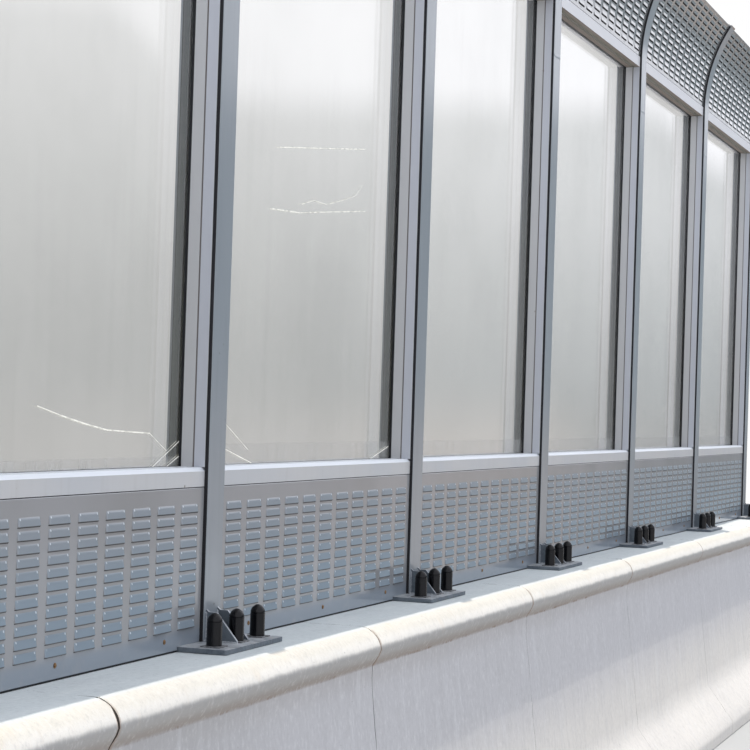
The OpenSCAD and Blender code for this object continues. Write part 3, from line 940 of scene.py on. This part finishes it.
def postOutline():
    w, d, f, h = post["halfWidth"], post["depth"], post["flange"], post["halfWeb"]
    e, r = post["edge"], post["root"]
    corners = [(-w, 0, e), (w, 0, e), (w, f, e), (h, f, r), (h, d - f, r), (w, d - f, e), (w, d, e),
               (-w, d, e), (-w, d - f, e), (-h, d - f, r), (-h, f, r), (-w, f, e)]
    return roundedOutline(corners, 3)


def headStation(angle):
    # the post face at this angle round the head: depth, height and the way back
    reach = row["headRadius"]
    return (reach * (math.cos(angle) - 1), row["bend"] + reach * math.sin(angle),
            math.cos(angle), math.sin(angle))


def lineStations(foot, straight, top, curved):
    # up the straight part and round the head, with so many stations on each
    stations = [(0, z, 1, 0) for z in np.linspace(foot, row["bend"], straight)]
    return stations + [headStation(math.radians(t)) for t in np.linspace(0, top, curved)[1:]]


def makePost(number, x):
    shape = Shape()
    table = [[place(x + a, d + b * c, z + b * s) for a, b in postOutline()]
             for d, z, c, s in lineStations(post["foot"], 24, row["headAngle"], 34)]
    shape.body(table)
    # butt weld across both flanges, with the ripples of its runs
    level = post["beadHeights"][number]
    for side in (0, 1):
        spine = np.linspace(-post["halfWidth"] + 0.003, post["halfWidth"] - 0.003, 46)
        rings = []
        for k, u in enumerate(spine):
            wave = 0.3 if k in (0, len(spine) - 1) else 0.82 + 0.18 * math.sin(k * 1.9 + number)
            lift = 0.0012 * math.sin(u * 60 + number * 2)
            ring = []
            for t in np.linspace(0, math.pi, 7):
                out = post["beadStand"] * wave * math.sin(t)
                ring.append(place(x + u, (post["depth"] + out) if side else -out,
                                  level + lift + post["beadHalf"] * math.cos(t)))
            ring.append(place(x + u, post["depth"] - 0.002 if side else 0.002, level + lift))
            rings.append(ring)
        shape.body(rings)
    made = shape.build("steelPost%d" % (number + 1), ["steel"], sharp=32)
    return finishPiece(made, "post_steel", "post_%d" % (number + 1))


for number, x in enumerate(postPlaces):
    makePost(number, x)
print("posts ready")


# Base plates with ribs and weld beads

plate = {
    "halfLength": 0.225,
    "reach": 0.152,
    "thick": 0.016,
    "corner": 0.007,
    "ribOffset": 0.043,
    "ribHalf": 0.005,
    "ribReach": 0.109,
    "ribTop": 0.036,
    "ribHeight": 0.093,
    "ribSoft": 0.0012,
    "weldLeg": 0.011,
    "besideWeld": 0.0055,    # the welds beside the ribs, up the flange and across its foot
    "uprightWeld": 0.005,
    "acrossWeld": 0.0075,
    "acrossHalf": 0.058,
}


def plateBody(shape, x):
    p = plate
    layers = [(0.0, 0.0015), (0.0015, 0.0), (p["thick"] - 0.002, 0.0), (p["thick"] - 0.0006, 0.0007),
              (p["thick"], 0.0022)]
    rings = []
    for height, inset in layers:
        a, lo, hi = p["halfLength"] - inset, -p["reach"] + inset, post["depth"] + p["reach"] - inset
        corners = [(-a, lo, p["corner"]), (a, lo, p["corner"]), (a, hi, p["corner"]), (-a, hi, p["corner"])]
        rings.append([place(x + u, v, height) for u, v in roundedOutline(corners, 4)])
    shape.body(rings)


def ribBody(shape, x, side, back):
    p = plate
    base = p["thick"] - 0.0005
    top = p["thick"] + p["ribHeight"]
    corners = [(0.001, base, 0), (0.001, top + p["weldLeg"] - 0.002, 0), (-p["weldLeg"] + 0.002, top, 0.002),
               (-p["ribTop"], top, 0.003), (-p["ribReach"], p["thick"] + 0.006, 0.002),
               (-p["ribReach"], base, 0)]
    outline = roundedOutline(corners, 2)
    middle = np.array(outline).mean(axis=0)
    rings = []
    half, soft = p["ribHalf"], p["ribSoft"]
    for u, shrink in ((-half, soft), (soft - half, 0), (half - soft, 0), (half, soft)):
        ring = []
        for d, z in outline:
            away = np.array((d, z)) - middle
            d, z = middle + away * (1 - shrink / max(0.02, np.linalg.norm(away)))
            if back:
                d = post["depth"] - d
            ring.append(place(x + side * p["ribOffset"] + u, d, z))
        rings.append(ring)
    shape.body(rings)


weld = {
    "step": 0.004,       # along the bead, from ripple to ripple
    "sunk": 0.0004,
    "ripple": 0.14,
    "swell": 0.18,
}


def weldRun(shape, start, end, wayOne, wayTwo, leg, seed):
    # a fillet bead in the corner between two faces
    start, end, wayOne, wayTwo = (np.array(v, float) for v in (start, end, wayOne, wayTwo))
    length = np.linalg.norm(end - start)
    count = max(6, int(length / weld["step"]))
    rings = []
    for k in range(count + 1):
        at = start + (end - start) * k / count
        size = leg * (1 + weld["ripple"] * (math.sin(k * 2.1 + seed) - 1))
        if k in (0, count):
            size *= 0.5
        ring = [at - weld["sunk"] * (wayOne + wayTwo)]
        for t in np.linspace(0, math.pi / 2, 5):
            share = np.array([math.cos(t), math.sin(t)])
            share = share / share.sum() * (1 + weld["swell"] * math.sin(2 * t))
            ring.append(at + size * (share[0] * wayOne + share[1] * wayTwo))
        rings.append(ring)
    shape.body(rings)


def makePlate(number, x):
    shape = Shape()
    plateBody(shape, x)
    p = plate
    for back in (False, True):
        for side in (-1, 1):
            ribBody(shape, x, side, back)
            face = post["depth"] if back else 0.0
            way = 1 if back else -1
            middle = x + side * p["ribOffset"]
            for flank in (-1, 1):
                edge = middle + flank * p["ribHalf"]
                weldRun(shape, place(edge, face + way * 0.004, p["thick"]),
                        place(edge, face + way * (p["ribReach"] - 0.003), p["thick"]),
                        (flank, 0, 0), (0, 0, 1), p["besideWeld"], number + side)
                weldRun(shape, place(edge, face, p["thick"] + 0.003),
                        place(edge, face, p["thick"] + p["ribHeight"]),
                        (flank, 0, 0), (0, way, 0), p["uprightWeld"], number - side)
        # bead along the foot of the flange
        weldRun(shape, *(place(x + u, face, p["thick"]) for u in (-p["acrossHalf"], p["acrossHalf"])),
                (0, way, 0), (0, 0, 1), p["acrossWeld"], number)
    made = shape.build("anchorPlate%d" % (number + 1), ["plate"], sharp=38)
    return finishPiece(made, "base_steel", "base_plate_%d" % (number + 1))


for number, x in enumerate(postPlaces):
    makePlate(number, x)
print("base plates ready")


# Rubber caps over the anchors

cap = {
    "spacing": 0.168,
    "reach": 0.085,
    "radius": 0.0245,
    "height": 0.101,
    "foot": 0.020,
    "dome": 0.0237,
}


def capProfile():
    c = cap
    shoulder = c["height"] - c["radius"]
    # each point lies a little inside the radius; a groove runs round under the dome
    insets = ((0.0012, 0), (0, 0.0012), (0, 0.004), (0.0003, 0.03), (0.0004, 0.055),
              (0.0002, shoulder - 0.0035), (0.0016, shoulder - 0.0026), (0.0016, shoulder - 0.0012))
    profile = [(c["radius"] - inset, z) for inset, z in insets]
    profile.append((c["dome"] + 0.0002, shoulder - 0.0003))
    # a slightly pointed dome
    for u in (0.10, 0.22, 0.34, 0.46, 0.58, 0.69, 0.79, 0.87, 0.935, 0.975, 0.995):
        profile.append((c["dome"] * (1 - u ** 1.85) ** 0.58, shoulder + (c["height"] - shoulder) * u))
    return profile


def makeCaps():
    shape = Shape()
    for x in postPlaces:
        for k in (-1, 0, 1):
            for depth in (-cap["reach"], post["depth"] + cap["reach"]):
                lathe(shape, capProfile(), place(x + k * cap["spacing"], depth, cap["foot"]), 36)
    made = shape.build("anchorCaps", ["cap"], sharp=40)
    return finishPiece(made, "cap_rubber", "anchor_caps")


makeCaps()
print("caps ready")


# Louvred panels

def louvreTemplate(levels, slit):
    # one louvre as (along, up, out) patches with its lip at the bottom: a
    # slope that runs out into the sheet, rounded at its two upper corners
    v = louvre
    half, tall = v["width"] / 2, v["height"]
    rows = []
    for b, lift in levels:
        over = max(0.0, b * tall - (tall - v["round"]))
        rounding = v["round"] - math.sqrt(max(0.0, v["round"] ** 2 - over ** 2))
        wide = half - 0.0003 - v["corner"] * b - rounding
        marks = [(half, 0)] + [(wide - away, share) for away, share in v["flanks"]] + [(wide * 0.45, 1.0)]
        marks = [(-u, share) for u, share in marks] + [(0, 1.0)] + marks[::-1]
        rows.append([(u, b * tall, v["lip"] * lift * share) for u, share in marks])
    hood = np.array(rows)
    front = hood[0]
    inner = front.copy()
    inner[:, 2] = np.maximum(front[:, 2] - v["sheet"], 0)
    lip = np.array([inner, front])
    inner = inner[1:-1]
    inner[0, 0], inner[-1, 0] = -half, half
    roofTop = inner.copy()
    roofTop[:, 1] = tall * v["roofShare"]
    roofTop[:, 2] = -v["hollow"]
    deep = inner.copy()
    deep[:, 1] = -slit
    deep[:, 2] = -slit * 2
    sill = deep.copy()
    sill[:, 2] = 0
    patches = [(hood, 0), (lip, 0), (np.array([roofTop, inner]), 1), (np.array([deep, roofTop]), 1),
               (np.array([sill, deep]), 1)]
    for end in (0, -1):
        level = [inner[end] * (1, 1, 0), roofTop[end]]
        low = [sill[end], deep[end]]
        side = np.array([level, low] if end else [low, level])
        patches.append((side, 1))
    return patches


def panelFront(shape, bend, first, rows, pitch, bottom, top, profile, slit):
    # the sheet between the louvres and the louvres themselves
    v = louvre
    half = row["panelHalf"]
    columns = [(c - (v["columns"] - 1) / 2) * v["pitch"] for c in range(v["columns"])]
    marks = [-half]
    for x in columns:
        marks += [x - v["width"] / 2, x + v["width"] / 2]
    marks.append(half)
    levels = [bottom]
    for r in range(rows):
        lip = first + r * pitch
        levels += [lip - slit, lip + v["height"]]
    levels.append(top)
    for k in range(len(levels) - 1):
        low, high = levels[k], levels[k + 1]
        isRow = k % 2 == 1
        steps = max(1, int(round((high - low) / v["sheetStep"])))
        heights = np.linspace(low, high, steps + 1)
        for m in range(len(marks) - 1):
            if isRow and m % 2 == 1:
                continue
            shape.grid(bend([[(u, z, 0) for u in marks[m:m + 2]] for z in heights]))
    for patch, slot in louvreTemplate(profile, slit):
        for r in range(rows):
            for x in columns:
                shape.grid(bend(patch + np.array([x, first + r * pitch, 0])), slot)


def panelBack(shape, bend, outline, inner=()):
    # the closed sides of a panel behind its sheet, and its two ends
    table = [[(u, z, -d) for d, z in outline] for u in (-row["panelHalf"], row["panelHalf"])]
    shape.grid(bend(table), flip=True)
    for u, turned in ((-row["panelHalf"], False), (row["panelHalf"], True)):
        ends = [(u, z, -d) for d, z in (*outline, *inner)]
        order = np.arange(len(ends))[None]
        shape.add(bend(ends), [order[:, ::-1] if turned else order])


def flatBend(middle):
    def bend(points):
        points = np.asarray(points, float)
        return np.stack([middle + points[..., 0],
                         row["faceY"] + row["panelFront"] - points[..., 2],
                         row["topZ"] + points[..., 1]], axis=-1)
    return bend


def roundBend(middle):
    # up becomes the length of arc from the start of the head
    def bend(points):
        points = np.asarray(points, float)
        angle = points[..., 1] / headFront
        reach = headFront - points[..., 2]
        return np.stack([middle + points[..., 0],
                         row["faceY"] - row["headRadius"] + reach * np.cos(angle),
                         row["topZ"] + row["bend"] + reach * np.sin(angle)], axis=-1)
    return bend


def makeLowerPanel(number, middle):
    v = louvre
    shape = Shape()
    bend = flatBend(middle)
    e, deep, low = v["edge"], row["panelDepth"], plate["thick"] + 0.0005
    panelFront(shape, bend, v["lowerFirst"], v["lowerRows"], v["rowPitch"], low,
               v["lowerTop"] - e, v["flat"], v["slit"])
    arc = [(e * (1 - math.cos(t)), v["lowerTop"] - e + e * math.sin(t)) for t in np.linspace(0, math.pi / 2, 4)]
    outline = arc + [(deep - e, v["lowerTop"]), (deep - e * 0.3, v["lowerTop"] - e * 0.3),
                     (deep, v["lowerTop"] - e), (deep, low), (0, low)]
    panelBack(shape, bend, outline)
    # the foot between the base plates
    short = row["bayLength"] / 2 - plate["halfLength"] - 0.002
    foot = [(0, low), (deep, low), (deep, v["lowerFoot"]), (0.001, v["lowerFoot"]), (0, v["lowerFoot"] + 0.001)]
    shape.body(bend([[(u, z, -d) for d, z in foot] for u in (-short, short)]))
    made = shape.build("lowerPanel%d" % number, ["sheet", "hollow"], sharp=38)
    return finishPiece(made, "panel_sheet", "lower_panel_%d" % number)


def makeCurvedPanel(number, middle):
    v = louvre
    shape = Shape()
    bend = roundBend(middle)
    e, deep = v["edge"], row["panelDepth"]
    low, high = curvedArc(v["curvedBottom"]), headFront * math.radians(v["curvedEnd"])
    first, pitch = curvedSpacing()
    panelFront(shape, bend, first, v["curvedRows"], pitch, low, high - e, v["drawn"], v["curvedSlit"])
    outline = [(e * (1 - math.cos(t)), high - e + e * math.sin(t)) for t in np.linspace(0, math.pi / 2, 4)]
    outline += [(d, high) for d in np.linspace(0.02, deep - e, 5)]
    outline += [(deep - e * 0.3, high - e * 0.3), (deep, high - e)]
    outline += [(deep, s) for s in np.linspace(high - e, curvedArc(v["curvedBottom"], deep), 26)[1:]]
    outline += [(d, curvedArc(v["curvedBottom"], d)) for d in np.linspace(deep, 0, 6)[1:]]
    panelBack(shape, bend, outline, [(0, s) for s in np.linspace(low, high - e, 26)[1:-1]])
    made = shape.build("curvedPanel%d" % number, ["curved", "hollow"], sharp=38)
    return finishPiece(made, "curved_sheet", "curved_panel_%d" % number)


for number, middle in enumerate(bayPlaces, 1):
    makeLowerPanel(number, middle)
    makeCurvedPanel(number, middle)
print("louvred panels ready")


# Glazing frames

rails = {
    "face": 0.060,
    "bevel": 0.012,
    "bottom": 0.502,
    "top": 2.890,
    "setback": 0.091,
    "paneThick": 0.010,
    "bite": 0.014,
    "strip": 0.008,
    "jointAt": 0.038,
    "joint": 0.005,
    "jointDeep": 0.003,
    "soft": 0.0009,
    "fit": 0.0003,
}


def railOutline(bevelled):
    # (depth behind the frame's front, height above its outer edge)
    r = rails
    f, s, deep = r["face"], r["soft"], row["panelDepth"]
    corners = [(0, 0, s)]
    if bevelled:
        corners += [(0, f - r["bevel"], 0.0012), (r["bevel"], f, 0.0012)]
    else:
        corners += [(0, f, s)]
    for start, end, down in ((r["jointAt"], r["jointAt"] + r["joint"], r["jointDeep"]),
                             (r["setback"] - r["strip"], r["setback"] + r["paneThick"], r["bite"])):
        corners += [(start, f, 0.0005), (start, f - down, 0), (end, f - down, 0), (end, f, 0.0005)]
    corners += [(deep, f, s), (deep, 0, s)]
    return roundedOutline(corners, 2)


def makeFrame(number, middle):
    r = rails
    shape = Shape()
    half, front = row["panelHalf"], row["panelFront"]
    for base, up, bevelled in ((r["bottom"], 1, True), (r["top"], -1, False)):
        shape.body([[place(middle + u, front + d, base + up * z) for d, z in railOutline(bevelled)]
                    for u in (-half, half)])
    sight = (r["bottom"] + r["face"] + r["fit"], r["top"] - r["face"] - r["fit"])
    for side in (-1, 1):
        shape.body([[place(middle + side * (half - u), front + d, z) for d, u in railOutline(False)]
                    for z in sight])
    made = shape.build("glazingFrame%d" % number, ["frame"], sharp=30)
    return finishPiece(made, "frame_aluminium", "glazing_frame_%d" % number)


for number, middle in enumerate(bayPlaces, 1):
    makeFrame(number, middle)
print("frames ready")


# Black sealant squeezed out beside each front flange

sealant = {
    "wide": 0.0034,
    "start": 0.017,
    "front": 0.0016,     # how far its face lies behind the post face
    "end": 32.4,         # degrees round the head
}


def makeSealant():
    shape = Shape()
    stations = lineStations(sealant["start"], 150, sealant["end"], 30)
    for number, x in enumerate(postPlaces):
        for side in (-1, 1):
            if (number == 0 and side < 0) or (number == len(postPlaces) - 1 and side > 0):
                continue
            edge = x + side * (post["halfWidth"] - 0.0004)
            marks = np.array([(edge, z, number) for _, z, _, _ in stations])
            wave = latticeNoise(marks * (1, 1, 3), 0.11, 7 + side)
            rings = []
            for k, (d, z, c, s) in enumerate(stations):
                wide = sealant["wide"] * (1 + 0.22 * wave[k])
                front = sealant["front"] * (1 + 0.5 * wave[k])
                ring = [(0, front), (wide * 0.55, front + 0.0006), (wide * 0.9, front + 0.0028),
                        (wide, row["panelFront"] - 0.003), (wide * 1.25, row["panelFront"] + 0.0002),
                        (0, row["panelFront"] + 0.0002)]
                rings.append([place(edge + side * a, d + b * c, z + b * s) for a, b in ring])
            shape.body(rings)
    made = shape.build("squeezedSealant", ["seal"], sharp=50)
    return finishPiece(made, "seal_rubber")


makeSealant()
print("sealant ready")


# Small fixings

fixings = {
    "screwPlaces": (-0.68, 0.0, 0.68),
    "screwHeight": 0.040,
    "screwRadius": 0.0062,
    "screwStand": 0.0042,
    "rivets": 6,
    "rivetStep": 0.337,
    "rivetArc": 0.0135,
    "rivetRadius": 0.0042,
    "rivetStand": 0.0022,
}


def studProfile(radius, stand):
    shares = [(1.25, 0), (1.25, 0.25), (1, 0.35), (0.96, 0.7), (0.75, 0.93), (0.35, 1)]
    return [(radius * across, stand * up) for across, up in shares]


def outwardStud(shape, spotAt, outWay, profile, steps=12):
    # a small turned head standing out from a face
    out = np.array(outWay, float)
    one = np.array([1.0, 0, 0])
    two = np.cross(out, one)
    table = []
    for radius, stand in profile:
        table.append([np.array(spotAt) + out * stand + radius * (math.cos(t) * one + math.sin(t) * two)
                      for t in np.linspace(0, 2 * math.pi, steps, endpoint=False)])
    shape.body(table)


def makeFixings():
    screws, rivets = Shape(), Shape()
    arc = curvedArc(louvre["curvedBottom"]) + fixings["rivetArc"]
    angle = arc / headFront
    for number, middle in enumerate(bayPlaces):
        for k, u in enumerate(fixings["screwPlaces"]):
            drop = 0.002 * math.sin(number * 3 + k * 2)
            outwardStud(screws, place(middle + u, row["panelFront"] + 0.0003, fixings["screwHeight"] + drop),
                        (0, -1, 0), studProfile(fixings["screwRadius"], fixings["screwStand"]))
        bend = roundBend(middle)
        for k in range(fixings["rivets"]):
            u = (k - (fixings["rivets"] - 1) / 2) * fixings["rivetStep"]
            spotAt = bend(np.array([u, arc, -0.0003]))
            outwardStud(rivets, spotAt, (0, -math.cos(angle), -math.sin(angle)),
                        studProfile(fixings["rivetRadius"], fixings["rivetStand"]), 10)
    finishPiece(screws.build("footScrews", ["screw"]), "panel_sheet")
    finishPiece(rivets.build("marginRivets", ["rivet"]), "curved_sheet")


makeFixings()
print("fixings ready")


# Parts that keep their modelled shape

kept = {"anchor_washers": "washer", "glazing_strips": "seal", "upright_seals": "seal", "bed_seals": "seal"}
kept.update({"pane_%d" % k: "pane" for k in range(1, row["bays"] + 1)})
for name, look in kept.items():
    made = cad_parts[name]
    made.data.materials.clear()
    made.data.materials.append(finishes[look])
    for face in made.data.polygons:
        face.material_index = 0
print("kept parts dressed:", len(kept))


# Floor, light and surroundings

floorSetup = {
    "reach": 14,
    "low": (0.46, 0.46, 0.455),
    "high": (0.49, 0.49, 0.485),
}


def makeFloor():
    material = bpy.data.materials.new("paleFloor")
    material.use_nodes = True
    made = Nodes(material.node_tree)
    cloud = made.noise(0.7, 3, 0.5)
    tone = made.mix(cloud, floorSetup["low"], floorSetup["high"])
    dull = made.node("ShaderNodeBsdfDiffuse", None, {"Color": tone})
    made.node("ShaderNodeOutputMaterial", None, {"Surface": dull})
    mesh = bpy.data.meshes.new("paleFloor")
    r = floorSetup["reach"]
    mesh.from_pydata([(-r, -r, 0), (r, -r, 0), (r, r, 0), (-r, r, 0)], [], [(0, 1, 2, 3)])
    mesh.materials.append(material)
    floor = bpy.data.objects.new("paleFloor", mesh)
    bpy.context.scene.collection.objects.link(floor)


lightSetup = {
    "sunFrom": (0.50, 0.0163, 0.86),
    "sunStrength": 2.75,
    "sunAngle": 0.2,     # degrees
    "sunColour": (1.0, 0.94, 0.86),
    "skyColour": (0.86, 0.925, 1.03),
    "skyStrength": 0.55,
    "skySide": 0.22,     # how much brighter the sky is beyond the far end
    "skyTop": 1.8,       # how much brighter it is overhead
    "mirroredSky": (1.38, 1.40, 1.50),
    "mirroredBand": (0.13, 0.175, 0.20),
    "mirroredHaze": (0.30, 0.355, 0.39),     # the band further along
    "mirroredGround": (0.52, 0.47, 0.45),
    "mirroredFloor": (0.72, 0.62, 0.56),     # the ground further along
    "mirroredEdge": (0.22, 0.225, 0.23),     # and beyond that
    "bandTops": (0.147, 0.118, 0.190),   # how high the band reaches: opposite, far along, close by
}


def makeLight():
    s = lightSetup
    sun = bpy.data.lights.new("softSun", "SUN")
    sun.energy = s["sunStrength"]
    sun.color = s["sunColour"]
    sun.angle = math.radians(s["sunAngle"])
    lamp = bpy.data.objects.new("softSun", sun)
    lamp.rotation_euler = Vector(s["sunFrom"]).to_track_quat("Z", "Y").to_euler()
    bpy.context.scene.collection.objects.link(lamp)
    world = bpy.data.worlds.new("paleSky")
    world.use_nodes = True
    bpy.context.scene.world = world
    made = Nodes(world.node_tree)
    seen = made.node("ShaderNodeLightPath", out=0)
    glossy = made.node("ShaderNodeLightPath", out=3)
    through = made.node("ShaderNodeLightPath", out=6)
    way = made.node("ShaderNodeTexCoord", out=0)
    along, rise = made.axis(0, way), made.axis(2, way)
    level = (1 + s["skySide"] * along) * (1 + s["skyTop"] * rise.greater(0))
    plain = tuple(s["skyStrength"] * c for c in s["skyColour"])
    grey = made.node("ShaderNodeCombineColor", None, {0: level, 1: level, 2: level})
    lit = made.mix(1.0, plain, grey, "MULTIPLY")
    # polished sheet mirrors the ground, a dark band over it and then the bright sky
    across = made.axis(1, way)
    beside, far, close = s["bandTops"]
    tops = beside + across.step(-0.215, -0.175) * (far - beside) + across.step(-0.41, -0.46) * (close - beside)
    banded = along.step(-0.1, 0.35) * across.step(0.10, -0.02)
    clear = 1 - (1 - (rise - tops).step(-0.013, 0.013)) * banded
    away = across.step(-0.375, -0.315)
    ground = made.mix(away, s["mirroredGround"], s["mirroredFloor"])
    ground = made.mix(across.step(-0.265, -0.235), ground, s["mirroredEdge"])
    band = made.mix(rise.step(-0.03, 0.02), ground, made.mix(away, s["mirroredBand"], s["mirroredHaze"]))
    band = made.mix(clear, band, s["mirroredSky"])
    tone = made.mix(glossy, lit, band)
    tone = made.mix(seen.greater(through), tone, (1, 1, 1))
    back = made.node("ShaderNodeBackground", None, {"Color": tone, "Strength": 1.0})
    made.node("ShaderNodeOutputWorld", None, {"Surface": back})


makeFloor()
makeLight()
print("light ready")
